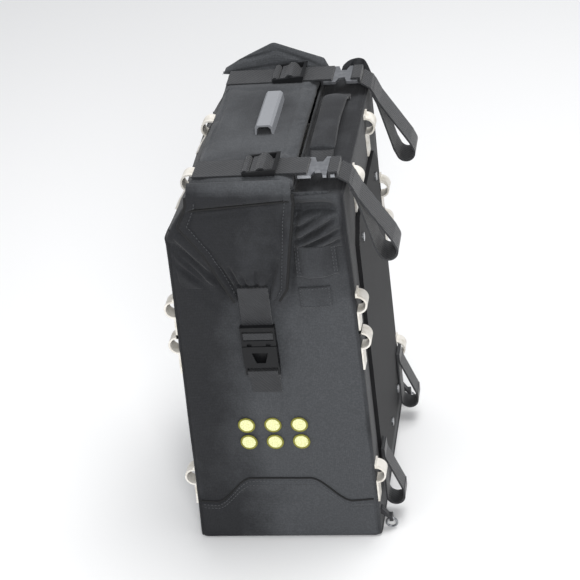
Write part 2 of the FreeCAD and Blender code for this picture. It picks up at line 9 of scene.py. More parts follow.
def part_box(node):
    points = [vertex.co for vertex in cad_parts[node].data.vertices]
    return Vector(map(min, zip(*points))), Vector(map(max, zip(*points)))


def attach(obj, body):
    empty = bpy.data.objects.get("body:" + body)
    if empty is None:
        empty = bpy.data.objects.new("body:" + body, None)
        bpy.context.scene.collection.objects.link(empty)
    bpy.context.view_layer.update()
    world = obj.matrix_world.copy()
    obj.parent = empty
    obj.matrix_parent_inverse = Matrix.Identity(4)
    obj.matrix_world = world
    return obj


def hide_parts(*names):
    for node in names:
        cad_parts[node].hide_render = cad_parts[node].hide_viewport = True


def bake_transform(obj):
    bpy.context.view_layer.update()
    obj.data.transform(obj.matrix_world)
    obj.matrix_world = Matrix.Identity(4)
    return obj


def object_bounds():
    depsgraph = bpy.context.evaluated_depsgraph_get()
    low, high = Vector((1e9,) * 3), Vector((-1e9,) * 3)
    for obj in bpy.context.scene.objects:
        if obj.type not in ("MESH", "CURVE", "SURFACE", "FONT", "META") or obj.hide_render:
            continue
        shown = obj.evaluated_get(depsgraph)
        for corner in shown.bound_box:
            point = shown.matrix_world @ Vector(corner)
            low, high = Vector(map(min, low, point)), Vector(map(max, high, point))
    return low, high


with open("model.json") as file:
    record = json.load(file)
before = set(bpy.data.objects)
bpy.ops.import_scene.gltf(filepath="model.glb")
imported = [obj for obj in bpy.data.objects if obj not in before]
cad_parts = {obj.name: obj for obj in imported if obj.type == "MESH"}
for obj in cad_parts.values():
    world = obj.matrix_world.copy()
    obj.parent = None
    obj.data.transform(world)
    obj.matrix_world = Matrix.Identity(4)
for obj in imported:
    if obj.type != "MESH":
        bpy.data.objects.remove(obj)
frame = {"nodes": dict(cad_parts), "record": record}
cad_low, cad_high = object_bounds()
ENDS = (("rear", -1.0), ("front", 1.0))

# ---- studio: floor, light and camera ------------------------------------------------------
# A pale painted floor under broad soft lights. The camera stands behind the bag, a little to
# the rack side and well above, and looks down on it.
bag_middle = Vector((0.0, 0.0, (cad_low[2] + cad_high[2]) / 2))
stand_point = Vector((0.397, -1.889, 1.387))
turned, raised, rolled = np.radians((11.64, 59.43, -7.64)).tolist()
camera = bpy.data.objects.new("camera", bpy.data.cameras.new("camera"))
camera.matrix_world = (Matrix.Translation(stand_point) @ Matrix.Rotation(turned, 4, "Z")
                       @ Matrix.Rotation(raised, 4, "X") @ Matrix.Rotation(rolled, 4, "Z"))
camera.data.lens = 120.2
bpy.context.collection.objects.link(camera)
bpy.context.scene.camera = camera
bpy.context.scene.view_settings.view_transform = "Standard"


def linear(hex_colour):
    """An sRGB hex colour as linear red, green, blue and alpha: a straight part, then a power."""
    c = np.array([int(hex_colour[i:i + 2], 16) for i in (1, 3, 5)]) / 255
    c = np.where(c <= 0.04045, c / 12.92, ((c + 0.055) / 1.055) ** 2.4)
    return (*c.tolist(), 1.0)


def add(tree, kind, sockets=None, **settings):
    """Adds a node. sockets maps an input's name or number to a value or to another's output."""
    made = tree.nodes.new("ShaderNode" + kind)
    for key, value in settings.items():
        setattr(made, key, value)
    for key, value in (sockets or {}).items():
        if isinstance(value, bpy.types.NodeSocket):
            tree.links.new(value, made.inputs[key])
        else:
            made.inputs[key].default_value = value
    return made


def finish_of(name, **shader):
    """A new material. Returns it with its tree and its Principled shader."""
    made = bpy.data.materials.new(name)
    made.use_nodes = True
    face = made.node_tree.nodes["Principled BSDF"]
    for key, value in shader.items():
        face.inputs[key.replace("_", " ")].default_value = value
    return made, made.node_tree, face


def two_tone(tree, face, factor, first, second):
    """Colours a shader with a mix of two hex colours, by a factor from another node."""
    tone = add(tree, "Mix", {0: factor, 6: linear(first), 7: linear(second)}, data_type="RGBA")
    tree.links.new(tone.outputs[2], face.inputs["Base Color"])


painted_floor, tree, face = finish_of("painted_floor", Roughness=0.9)
mottle = add(tree, "TexNoise", {"Scale": 3.0})
two_tone(tree, face, mottle.outputs[0], "#fafafa", "#fdfdfc")
floor = bpy.data.meshes.new("floor")
floor.from_pydata([(-6, -6, 0), (6, -6, 0), (6, 6, 0), (-6, 6, 0)], [], [(0, 1, 2, 3)])
floor = bpy.data.objects.new("floor", floor)
floor.data.materials.append(painted_floor)
bpy.context.collection.objects.link(floor)

world = bpy.data.worlds.new("studio")
bpy.context.scene.world = world
world.use_nodes = True
world.node_tree.nodes["Background"].inputs[0].default_value = linear("#f4f6fa")
world.node_tree.nodes["Background"].inputs[1].default_value = 0.42
for name, place, size, power in (("top_light", (0.5, 0.3, 2.7), 1.5, 46),
                                 ("rear_light", (0.8, -2.9, 1.9), 1.0, 52),
                                 ("side_light", (-2.0, -1.6, 1.6), 1.6, 8)):
    lamp = bpy.data.objects.new(name, bpy.data.lights.new(name, "AREA"))
    lamp.data.size = size
    lamp.data.energy = power
    lamp.location = place
    lamp.rotation_euler = (bag_middle - Vector(place)).to_track_quat("-Z", "Y").to_euler()
    bpy.context.collection.objects.link(lamp)

# ---- padded shell -------------------------------------------------------------------------
# Foam-backed nylon with a dull coating, sewn from a base, two ends, two sides and a top strip.
# The panels crown between their seams, and the fabric creases beside the rolled mouth.
base_high, strip_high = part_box("base_panel")[1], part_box("top_strip")[1]
throat_low, throat_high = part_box("throat")
END_Y = base_high[1]
SIDE_X = base_high[0]
BODY_TOP = strip_high[2]
SHOULDER_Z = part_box("shoulder_panel")[0][2]
OUTER_TOP_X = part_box("outer_panel")[1][0] - 0.003
CORNER = 0.006
SIDE_RUN, CORNER_RUN = 64, 5
QUARTER = SIDE_RUN + CORNER_RUN
BASE_ROWS, TURN_ROWS, WALL_ROWS = 4, 6, 130


def ring_template(run, turn):
    """One trip round a rounded rectangle, as where each point's corner centre is, from -1 to 1,
    and which way is out: each side is a straight run, and each corner is a quarter turn."""
    along, bend = np.linspace(-1, 1, run), np.linspace(0, np.pi / 2, turn + 2)[1:-1]
    parts = []
    for quarter in range(4):
        c, s = np.cos(quarter * np.pi / 2), np.sin(quarter * np.pi / 2)
        cx = np.concatenate([np.ones(run), np.ones(turn)])
        cy = np.concatenate([along, np.ones(turn)])
        nx = np.concatenate([np.ones(run), np.cos(bend)])
        ny = np.concatenate([np.zeros(run), np.sin(bend)])
        parts.append([c * cx - s * cy, s * cx + c * cy, c * nx - s * ny, s * nx + c * ny])
    return np.concatenate(parts, axis=1)


def grid_faces(rows, columns, wrap):
    """Quads between neighbouring rows and columns. wrap joins the last column to the first."""
    r, c = np.meshgrid(np.arange(rows - 1), np.arange(columns - (0 if wrap else 1)), indexing="ij")
    n = (c + 1) % columns
    quads = np.stack([r * columns + c, r * columns + n, (r + 1) * columns + n,
                      (r + 1) * columns + c], axis=-1)
    return quads.reshape(-1, 4)


def surface(name, points, wrap=False, flip=False, close=False):
    """A mesh from a grid of points, rows x columns x 3, with a UV map in metres along the cloth:
    each step adds the distance between neighbours. close fans the first and last rows shut."""
    rows, columns = points.shape[:2]
    quads = grid_faces(rows, columns, wrap)
    flat = points.reshape(-1, 3)
    faces = quads.tolist()
    if close:
        ends = [flat[:columns].mean(0), flat[-columns:].mean(0)]
        flat = np.concatenate([flat, ends])
        ring = np.arange(columns)
        after = np.roll(ring, -1)
        last = (rows - 1) * columns
        faces += np.stack([after, ring, np.full(columns, len(flat) - 2)], 1).tolist()
        faces += np.stack([last + ring, last + after, np.full(columns, len(flat) - 1)], 1).tolist()
    mesh = bpy.data.meshes.new(name)
    mesh.from_pydata(flat.tolist(), [], [f[::-1] for f in faces] if flip else faces)
    step_u = np.linalg.norm(np.diff(points, axis=1, prepend=points[:, :1]), axis=2).mean(0)
    step_v = np.linalg.norm(np.diff(points, axis=0, prepend=points[:1]), axis=2).mean(1)
    u, v = np.meshgrid(np.cumsum(step_u), np.cumsum(step_v))
    uv = np.stack([u, v], -1).reshape(-1, 2)
    uv = np.concatenate([uv, np.zeros((len(flat) - len(uv), 2))])
    loops = np.empty(len(mesh.loops), int)
    mesh.loops.foreach_get("vertex_index", loops)
    mesh.uv_layers.new(name="cloth").data.foreach_set("uv", uv[loops].ravel())
    mesh.polygons.foreach_set("use_smooth", np.ones(len(mesh.polygons), bool))
    made = bpy.data.objects.new(name, mesh)
    bpy.context.collection.objects.link(made)
    return made


def modify(piece, kind, **settings):
    """Adds a modifier, with the same levels in the view and the render."""
    made = piece.modifiers.new(kind.lower(), kind)
    for key, value in settings.items():
        setattr(made, key, value)
    if kind == "SUBSURF":
        made.render_levels = made.levels
    return made


def creases(a, b, lines):
    """Depth of a set of soft valleys: each is a bell across its line, times a half sine along it."""
    depth = np.zeros_like(a)
    for a0, b0, a1, b1, deep, wide in lines:
        da, db = a1 - a0, b1 - b0
        t = ((a - a0) * da + (b - b0) * db) / (da * da + db * db)
        off = ((a - a0) * db - (b - b0) * da) / np.hypot(da, db)
        depth += deep * np.exp(-(off / wide) ** 2) * np.sin(np.pi * np.clip(t, 0, 1)) ** 0.6
    return depth


def end_depth(x, z):
    """How far an end panel lies inside its flat plane: it falls away towards the side seams with
    the distance to a power, slack cloth waves a little, and creases run down from the mouth."""
    up = np.sin(np.pi * np.clip(z / SHOULDER_Z, 0, 1)) ** 0.5
    fall = 0.0085 * np.abs(x / SIDE_X) ** 2.6 * up
    slack = 0.0006 * up * (np.sin(x * 61 + z * 23) + np.sin(z * 47 - x * 29 + 1.3))
    hollow = 0.0125 * np.exp(-((x - 0.074) / 0.021) ** 4 - ((z - 0.4325) / 0.0060) ** 2)
    folds = creases(x, z, ((0.092, 0.440, 0.098, 0.330, 0.0022, 0.006),
                           (0.0575, 0.448, 0.0500, 0.396, 0.0055, 0.0032),
                           (0.0520, 0.410, 0.0350, 0.322, 0.0050, 0.0036),
                           (-0.0240, 0.322, -0.0560, 0.380, 0.0036, 0.0040),
                           (-0.086, 0.398, -0.050, 0.352, 0.0060, 0.0050),
                           (-0.088, 0.380, -0.044, 0.330, 0.0038, 0.0050),
                           (-0.080, 0.350, -0.036, 0.312, 0.0016, 0.0060),
                           (0.034, 0.345, 0.062, 0.262, 0.0014, 0.010),
                           (-0.060, 0.310, -0.078, 0.180, 0.0015, 0.012),
                           (0.084, 0.300, 0.090, 0.110, 0.0014, 0.010),
                           (-0.030, 0.205, -0.072, 0.110, 0.0008, 0.012),
                           (0.050, 0.215, 0.074, 0.120, 0.0008, 0.012)))
    return fall + slack + hollow + folds + 0.0006


def shell_points(margin=0.0):
    """Rounded rectangles stacked up the bag, drawn in by a margin. Rows run from the middle of
    the base out to its edge, up the walls with a round turn at each edge, over the top, and in to
    the mouth's rim. The outer wall leans in evenly to the shoulder, and then with the height to
    the power 1.2 to the mouth. It crowns as a level middle that falls away to the seams."""
    cx, cy, nx, ny = ring_template(SIDE_RUN, CORNER_RUN)
    turn = np.linspace(0, np.pi / 2, TURN_ROWS)
    rows = [(0.0, k, 0.0, 0.0) for k in (0.02, 0.4, 0.75, 0.93)]
    rows += [(0.006 * (1 - np.cos(t)), 1.0, 0.006 * (1 - np.sin(t)), 0.0) for t in turn]
    rows += [(z, 1.0, 0.0, 0.0) for z in np.linspace(0.010, BODY_TOP - 0.008, WALL_ROWS)]
    rows += [(BODY_TOP - 0.005 * (1 - np.sin(t)), 1.0, 0.005 * (1 - np.cos(t)), 0.0) for t in turn]
    rows += [(BODY_TOP, 1.0, 0.005, k) for k in np.linspace(0.1, 1, 9)]
    z, k, inset, into = (np.array(c)[:, None] for c in zip(*rows))
    upright = np.clip(z / SHOULDER_Z, 0, 1)
    lean = np.clip((z - SHOULDER_Z) / (BODY_TOP - 0.003 - SHOULDER_Z), 0, 1) ** 1.2
    outer = -SIDE_X + (SIDE_X + OUTER_TOP_X) * upright + (throat_low[0] - OUTER_TOP_X) * lean
    outer = outer - 0.0006 * np.sin(np.pi * upright) + margin
    outer, inner, half_y = outer + inset, SIDE_X - inset - margin, END_Y - inset - margin
    outer = outer + (throat_low[0] - outer) * into
    inner = inner + (throat_high[0] - inner) * into
    half_y = half_y + (throat_high[1] - half_y) * into
    mid, half_x, half_y = (outer + inner) / 2 * k, (inner - outer) / 2 * k, half_y * k
    r = np.minimum(CORNER * (1 - 0.7 * into), np.minimum(half_x, half_y) * 0.9)
    x = mid + cx * (half_x - r) + nx * r
    y = cy * (half_y - r) + ny * r
    z = z + 0 * x
    wall = (z > 0.004) & (z < BODY_TOP - 0.004)
    y = y - np.sign(cy) * np.abs(cy) ** 12 * wall * end_depth(x, z)
    up = np.sin(np.pi * np.clip(z / SHOULDER_Z, 0, 1)) ** 0.5
    crown = 0.0085 * np.clip(1 - (y / 0.119) ** 2, 0, 1) ** 1.4 * up * (nx < 0)
    side_folds = creases(y, z, ((-0.12, 0.402, 0.10, 0.390, 0.0030, 0.008),
                                (-0.09, 0.330, -0.12, 0.200, 0.0026, 0.014),
                                (0.09, 0.300, 0.12, 0.160, 0.0026, 0.014),
                                (-0.06, 0.120, 0.09, 0.070, 0.0020, 0.018),
                                (-0.10, 0.385, -0.02, 0.300, 0.0030, 0.010),
                                (0.10, 0.380, 0.03, 0.290, 0.0030, 0.010),
                                (-0.13, 0.050, -0.08, 0.140, 0.0022, 0.010),
                                (0.13, 0.050, 0.08, 0.150, 0.0022, 0.010)))
    x = x + np.sign(nx) * (np.abs(nx) > 0.9) * wall * (crown - side_folds * (nx < 0))
    strip = (z > BODY_TOP - 0.001) & (x > throat_high[0])
    inside = np.clip((END_Y - np.abs(y)) / 0.02 - 0.5, 0, 1)
    z = z - 0.0008 * strip * inside * np.abs(np.sin(x * 190)) ** 3
    return np.stack([x, y, z], -1)


coated_weave, tree, face = finish_of("coated_nylon_weave", Roughness=0.78, IOR=1.5,
                                     Specular_IOR_Level=0.28, Sheen_Weight=0.10,
                                     Sheen_Roughness=0.5)
# Fine plain weave under a dull coating: nearly black yarn, mixed with a paler grey that varies at
# random. The real threads are 0.5 mm apart, and are drawn at 2 mm so that they show. The grey is
# also set by place as painted shade and painted light: painted shade near the outer seam, by the
# mouth and on the rack side, and painted light on the roll and on the ends towards the rack. These
# changes with place are not wear: they fix the shading wanted under this light in the colour.
place = add(tree, "TexCoord")
warp = add(tree, "TexWave", {"Vector": place.outputs["UV"], "Scale": 160.0}, bands_direction="X")
weft = add(tree, "TexWave", {"Vector": place.outputs["UV"], "Scale": 160.0}, bands_direction="Y")
weave = add(tree, "Math", {0: warp.outputs[1], 1: weft.outputs[1]}, operation="ADD")
slub = add(tree, "TexNoise", {"Vector": place.outputs["Object"], "Scale": 520.0, "Detail": 4.0})
cloud = add(tree, "TexNoise", {"Vector": place.outputs["Object"], "Scale": 11.0, "Detail": 5.0,
                               "Roughness": 0.6})
apart = add(tree, "SeparateXYZ", {0: place.outputs["Object"]})
# Painted shade: darker on the ends towards the outer seam.
outer_seam_shade = add(tree, "MapRange", {0: apart.outputs[0], 1: -0.105, 2: 0.01, 3: -0.42, 4: 0.14},
                interpolation_type="SMOOTHSTEP")
faced = add(tree, "SeparateXYZ", {0: place.outputs["Normal"]})
on_end = add(tree, "Math", {0: faced.outputs[1]}, operation="ABSOLUTE")
outer_seam_shade = add(tree, "Math", {0: outer_seam_shade.outputs[0], 1: on_end.outputs[0]}, operation="MULTIPLY")
# Painted shade: darker by the mouth.
mouth_shade = add(tree, "MapRange", {0: apart.outputs[2], 1: 0.25, 2: 0.40, 3: 0.10, 4: -0.34},
                 interpolation_type="SMOOTHSTEP")
# Painted shade: darker on the rack side.
rack_side_shade = add(tree, "MapRange", {0: apart.outputs[0], 1: 0.098, 2: 0.106, 3: 0.0, 4: -0.40},
                interpolation_type="SMOOTHSTEP")
painted_light_and_shade = add(tree, "Math", {0: outer_seam_shade.outputs[0], 1: mouth_shade.outputs[0]}, operation="ADD")
painted_light_and_shade = add(tree, "Math", {0: painted_light_and_shade.outputs[0], 1: rack_side_shade.outputs[0]}, operation="ADD")
# Painted light: lighter towards the rack.
lit_side = add(tree, "MapRange", {0: apart.outputs[0], 1: 0.02, 2: 0.06, 3: 0.0, 4: 0.16},
               interpolation_type="SMOOTHSTEP")
painted_light_and_shade = add(tree, "Math", {0: painted_light_and_shade.outputs[0], 1: lit_side.outputs[0]}, operation="ADD")
# Painted light: lighter on the roll, but not on the grip.
roll_painted_light = add(tree, "MapRange", {0: apart.outputs[2], 1: 0.450, 2: 0.462, 3: 0.0, 4: 0.46},
              interpolation_type="SMOOTHSTEP")
off_grip = add(tree, "MapRange", {0: apart.outputs[0], 1: 0.057, 2: 0.063, 3: 1.0, 4: 0.0})
roll_painted_light = add(tree, "Math", {0: roll_painted_light.outputs[0], 1: off_grip.outputs[0]}, operation="MULTIPLY")
painted_light_and_shade = add(tree, "Math", {0: painted_light_and_shade.outputs[0], 1: roll_painted_light.outputs[0]}, operation="ADD")
# The painted light and shade, with a random cloud, set how much paler grey is mixed in.
shade_with_mottle = add(tree, "Math", {0: painted_light_and_shade.outputs[0], 1: cloud.outputs[0]}, operation="ADD")
shade_mottle_mix = add(tree, "MapRange", {0: shade_with_mottle.outputs[0], 1: 0.30, 2: 0.74})
tone = add(tree, "Mix", {0: shade_mottle_mix.outputs[0], 6: linear("#242528"), 7: linear("#494b4e")},
           data_type="RGBA")
fleck = add(tree, "MapRange", {0: slub.outputs[0], 1: 0.4, 2: 0.75, 3: 0.82, 4: 1.18})
grain = add(tree, "Mix", {0: 1.0, 6: tone.outputs[2], 7: fleck.outputs[0]}, data_type="RGBA",
            blend_type="MULTIPLY")
tree.links.new(grain.outputs[2], face.inputs["Base Color"])
threads = add(tree, "Bump", {"Height": weave.outputs[0], "Strength": 0.28, "Distance": 0.0004})
pucker = add(tree, "TexNoise", {"Vector": place.outputs["Object"], "Scale": 26.0, "Detail": 3.0})
soft = add(tree, "Bump", {"Height": pucker.outputs[0], "Strength": 0.35, "Distance": 0.004,
                          "Normal": threads.outputs[0]})
tree.links.new(soft.outputs[0], face.inputs["Normal"])

shell = surface("padded_shell", shell_points(), wrap=True)
bm = bmesh.new()
bm.from_mesh(shell.data)
rim = [e for e in bm.edges if e.is_boundary and all(v.co.z < 0.001 for v in e.verts)]
bmesh.ops.contextual_create(bm, geom=rim)
bm.to_mesh(shell.data)
bm.free()
modify(shell, "SOLIDIFY", thickness=0.003, offset=-1.0)
shell.data.materials.append(coated_weave)
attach(shell, "bag")
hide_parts("base_panel", "rear_panel", "front_panel", "outer_panel", "shoulder_panel",
            "inner_panel", "top_strip")


# ---- liner --------------------------------------------------------------------------------
# Inside hangs a pale liner of coated cloth, welded at its seams. It follows the shell's panels,
# and is open at the top.
LINER_GAP = 0.006
liner_low, liner_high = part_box("liner")
inner_grid = shell_points(LINER_GAP)
inner_grid = inner_grid[:int((inner_grid[:, 0, 2] < liner_high[2]).sum())]
inner_grid[..., 2] = np.maximum(inner_grid[..., 2], liner_low[2])
coated_liner, tree, face = finish_of("coated_liner_cloth", Roughness=0.4)
# Pale coated cloth, slightly shiny, with soft handling creases.
place = add(tree, "TexCoord")
cloud = add(tree, "TexNoise", {"Vector": place.outputs["Object"], "Scale": 30.0, "Detail": 4.0})
two_tone(tree, face, cloud.outputs[0], "#d6d6d2", "#e8e8e5")
soft = add(tree, "Bump", {"Height": cloud.outputs[0], "Strength": 0.3, "Distance": 0.002})
tree.links.new(soft.outputs[0], face.inputs["Normal"])
bladder = surface("hung_liner", inner_grid, wrap=True)
modify(bladder, "SOLIDIFY", thickness=0.0006, offset=-1.0)
bladder.data.materials.append(coated_liner)
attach(bladder, "bag")
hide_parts("liner")


# ---- seam piping --------------------------------------------------------------------------
# Cord in a folded strip of the shell's cloth is sewn into the seams round the outer and the
# rack-side panels. It stiffens the edges, and catches the light as a thin line.
def tube(name, path, radius, sides=10):
    """A round bead carried along a closed path. The path is set out evenly, and each point is
    averaged with its neighbours to round the corners. Its circle stands in the plane of the
    loop's outward direction and the loop's axis."""
    span = np.linalg.norm(np.diff(path, axis=0, append=path[:1]), axis=1)
    run = np.concatenate([[0], np.cumsum(span)])
    at = np.linspace(0, run[-1], 480, endpoint=False)
    closed = np.concatenate([path, path[:1]])
    middle = np.stack([np.interp(at, run, closed[:, i]) for i in range(3)], -1)
    for _ in range(2):
        middle = (np.roll(middle, 1, 0) + middle + np.roll(middle, -1, 0)) / 3
    along = np.roll(middle, -1, 0) - np.roll(middle, 1, 0)
    along /= np.linalg.norm(along, axis=1)[:, None]
    out = middle - middle.mean(0)
    out -= along * (out * along).sum(1)[:, None]
    out /= np.linalg.norm(out, axis=1)[:, None]
    side = np.cross(along, out)
    a = np.linspace(0, 2 * np.pi, sides, endpoint=False)[None, :, None]
    rings = middle[:, None] + radius * (np.cos(a) * out[:, None] + np.sin(a) * side[:, None])
    made = surface(name, np.concatenate([rings, rings[:1]]), wrap=True)
    bm = bmesh.new()
    bm.from_mesh(made.data)
    bmesh.ops.remove_doubles(bm, verts=bm.verts, dist=1e-6)
    bmesh.ops.recalc_face_normals(bm, faces=bm.faces)
    bm.to_mesh(made.data)
    bm.free()
    return made


shell_grid = shell_points()
PIPING_RADIUS = 0.0019
WALL_END = BASE_ROWS + TURN_ROWS + WALL_ROWS
BASE_ROW, TOP_ROW = BASE_ROWS + TURN_ROWS // 2, WALL_END + TURN_ROWS // 2 - 1
FRONT_RACK, FRONT_OUTER, REAR_OUTER, REAR_RACK = (SIDE_RUN + CORNER_RUN // 2 + QUARTER * k
                                                  for k in range(4))
OUTER_MIDDLE = 2 * QUARTER + SIDE_RUN // 2
SHOULDER_ROW = int(np.abs(shell_grid[:WALL_END, OUTER_MIDDLE, 2] - SHOULDER_Z).argmin())
for name, node, first, last, top_row in (
        ("rack_side_piping", "inner_piping", REAR_RACK, FRONT_RACK, TOP_ROW),
        ("outer_piping_bead", "outer_piping", FRONT_OUTER, REAR_OUTER, SHOULDER_ROW)):
    over = (first + np.arange((last - first) % (4 * QUARTER) + 1)) % (4 * QUARTER)
    path = np.concatenate([shell_grid[BASE_ROW:top_row, first], shell_grid[top_row, over],
                           shell_grid[top_row - 1:BASE_ROW:-1, last],
                           shell_grid[BASE_ROW, over[::-1]]])
    bead = tube(name, path, PIPING_RADIUS)
    bead.data.materials.append(coated_weave)
    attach(bead, "bag")
    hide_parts(node)


# ---- bottom reinforcement -----------------------------------------------------------------
# A second layer of the same cloth wraps the bottom of each end. Its top edge is cut in a bell
# shape, turned under and sewn down with two rows of thread.
def bell_top(x):
    """Height of the reinforcement's edge: low at the seams, with a smooth rise to a level middle."""
    t = np.clip((0.080 - np.abs(x + 0.002)) / 0.046, 0, 1)
    return 0.051 + 0.035 * t * t * (3 - 2 * t)


def stitches(name, path, outward, pitch=0.0042, long=0.0028, thick=0.00042):
    """Thread along a path: every pitch there is a short spindle, a six-sided tube that swells in
    the middle. path is points x 3, and outward is the direction the thread stands up in."""
    span = np.linalg.norm(np.diff(path, axis=0), axis=1)
    run = np.concatenate([[0], np.cumsum(span)])
    at = np.arange(pitch / 2, run[-1], pitch)
    middle = np.stack([np.interp(at, run, path[:, i]) for i in range(3)], -1)
    ahead = np.stack([np.interp(at + 0.0004, run, path[:, i]) for i in range(3)], -1)
    behind = np.stack([np.interp(at - 0.0004, run, path[:, i]) for i in range(3)], -1)
    along = ahead - behind
    along /= np.linalg.norm(along, axis=1)[:, None]
    out = np.array(outward, float) - along * (along @ np.array(outward, float))[:, None]
    out /= np.linalg.norm(out, axis=1)[:, None]
    side = np.cross(along, out)
    t, a = np.meshgrid([-1, -0.6, 0.6, 1], np.arange(6) * np.pi / 3, indexing="ij")
    swell = thick * np.sqrt(np.clip(1.05 - t * t, 0.05, 1))
    shape = (along[:, None, None] * (t * long / 2)[None, :, :, None]
             + side[:, None, None] * (swell * np.cos(a) * 1.3)[None, :, :, None]
             + out[:, None, None] * (swell * np.sin(a))[None, :, :, None])
    points = (middle[:, None, None] + shape).reshape(-1, 3)
    one = grid_faces(4, 6, True)
    faces = (one[None] + 24 * np.arange(len(at))[:, None, None]).reshape(-1, 4)
    mesh = bpy.data.meshes.new(name)
    mesh.from_pydata(points.tolist(), [], faces.tolist())
    made = bpy.data.objects.new(name, mesh)
    bpy.context.collection.objects.link(made)
    made.data.materials.append(sewing_thread)
    return made


sewing_thread, tree, face = finish_of("bonded_polyester_thread", Roughness=0.5)
# Bonded thread has a slight gloss, and catches the light as a row of dashes.
place = add(tree, "TexCoord")
ply = add(tree, "TexWave", {"Vector": place.outputs["Object"], "Scale": 420.0},
          bands_direction="DIAGONAL")
two_tone(tree, face, ply.outputs[1], "#2b2c2e", "#55575b")

shadow_line_binding, tree, face = finish_of("black_binding_painted_shadow", Roughness=0.8)
# Thin black tape folded over the cut edge, with a fine cross rib. It is partly real binding and
# partly painted shadow: its near-black bead draws the dark shade line along the edges.
place = add(tree, "TexCoord")
rib = add(tree, "TexWave", {"Vector": place.outputs["Object"], "Scale": 300.0}, bands_direction="X")
two_tone(tree, face, rib.outputs[1], "#0c0c0d", "#161617")


def bead_along(name, path, outward, radius, sides=8):
    """A round bead carried along an open path, with both ends shut. outward is the direction that
    its circle's first point faces."""
    along = np.gradient(path, axis=0)
    along /= np.linalg.norm(along, axis=1)[:, None]
    out = np.array(outward, float) - along * (along @ np.array(outward, float))[:, None]
    out /= np.linalg.norm(out, axis=1)[:, None]
    side = np.cross(along, out)
    a = np.linspace(0, 2 * np.pi, sides, endpoint=False)[None, :, None]
    return surface(name, path[:, None] + radius * (np.cos(a) * out[:, None] + np.sin(a) * side[:, None]),
                   wrap=True, close=True)


for end, sign in ENDS:
    x, t = np.meshgrid(np.linspace(-0.0995, 0.1005, 90), np.linspace(0, 1, 26))
    z = 0.006 + (bell_top(x) - 0.006) * t
    proud = 0.0014 * np.sqrt(np.clip(1 - np.clip((t - 0.95) / 0.05, 0, 1) ** 2, 0, 1)) - 0.0004
    bulge = 0.0012 * np.exp(-((t - 0.90) / 0.05) ** 2)
    y = sign * (END_Y - end_depth(x, z) + proud + bulge)
    layer = surface(end + "_reinforcement", np.stack([x, y, z], -1), flip=sign > 0)
    layer.data.materials.append(coated_weave)
    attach(layer, "bag")
    sx = np.linspace(-0.1000, 0.1010, 140)
    sz = bell_top(sx)
    # This black binding along the bell edge also paints the dark shadow line there.
    edge = bead_along(end + "_reinforcement_shadow_binding",
                      np.stack([sx, sign * (END_Y - end_depth(sx, sz) + 0.0005), sz], -1),
                      (0, sign, 0), 0.0011)
    edge.data.materials.append(shadow_line_binding)
    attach(edge, "bag")
    for row, drop in (("upper", 0.0040), ("lower", 0.0090)):
        sx = np.linspace(-0.098, 0.099, 120)
        sz = bell_top(sx) - drop
        part = (sz - 0.006) / (bell_top(sx) - 0.006)
        stand = 0.0012 + 0.0012 * np.exp(-((part - 0.90) / 0.05) ** 2)
        sy = sign * (END_Y - end_depth(sx, sz) + stand)
        thread = stitches(f"{end}_reinforcement_{row}_stitches", np.stack([sx, sy, sz], -1),
                          (0, sign, 0))
        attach(thread, "bag")

# ---- reflector rims -----------------------------------------------------------------------
# Each round of reflective film is heat-sealed to the panel, which leaves a raised olive rim.
# Melted film and coating: olive, with a fine mottle.
sealed_rim, tree, face = finish_of("heat_sealed_rim", Roughness=0.45)
place = add(tree, "TexCoord")
melt = add(tree, "TexNoise", {"Vector": place.outputs["Object"], "Scale": 300.0, "Detail": 3.0})
two_tone(tree, face, melt.outputs[0], "#6f6c1c", "#98952f")
dot_low, dot_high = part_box("reflective_dots")
DOT = 0.008
for end, sign in ENDS:
    for row, z in (("lower", dot_low[2] + DOT), ("upper", dot_high[2] - DOT)):
        for column, x in (("outer", dot_low[0] + DOT), ("middle", (dot_low[0] + dot_high[0]) / 2),
                          ("rack", dot_high[0] - DOT)):
            a = np.linspace(0, 2 * np.pi, 41)
            b, t = np.meshgrid(np.linspace(0, 2 * np.pi, 8, endpoint=False), a)
            reach = 0.00865 + 0.00115 * np.cos(b)
            rim = surface(f"{end}_{row}_{column}_reflector_rim",
                          np.stack([x + reach * np.cos(t), sign * (END_Y + 0.0004 + 0.0010 * np.sin(b)),
                                    z + reach * np.sin(t)], -1), wrap=True, flip=sign < 0)
            rim.data.materials.append(sealed_rim)
            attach(rim, "bag")

# ---- label and finger loop on each end ----------------------------------------------------
# Beside the flap, a wide strip of the shell's cloth is sewn down at its two ends, so that a
# finger goes behind it. Below it lies a blank label of the same cloth.
def end_patch(name, x0, x1, z0, z1, lift, sign, rows=22, columns=40):
    """A rectangle of cloth that follows the end panel at a distance lift, a function of how far
    across it a point is, from 0 to 1."""
    s, t = np.meshgrid(np.linspace(0, 1, columns), np.linspace(0, 1, rows))
    x, z = x0 + (x1 - x0) * s, z0 + (z1 - z0) * t
    made = surface(name, np.stack([x, sign * (END_Y - end_depth(x, z) + lift(s)), z], -1),
                   flip=sign > 0)
    modify(made, "SOLIDIFY", thickness=0.0012, offset=-1.0)
    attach(made, "bag")
    return made


def border(x0, x1, z0, z1, inset, n=50):
    """The four sides of a rectangle, drawn in by inset, as one closed run of points in x and z."""
    x0, x1, z0, z1 = x0 + inset, x1 - inset, z0 + inset, z1 - inset
    corners = np.array([(x0, z0), (x1, z0), (x1, z1), (x0, z1), (x0, z0)])
    t = np.linspace(0, 4, 4 * n + 1)
    return np.interp(t, range(5), corners[:, 0]), np.interp(t, range(5), corners[:, 1])


def finger_room(s):
    """How far the loop stands off the panel: sewn flat near its two ends, and lifted between."""
    return 0.0018 + 0.0052 * np.clip(np.minimum(s, 1 - s) / 0.2 - 0.6, 0, 1) ** 0.6


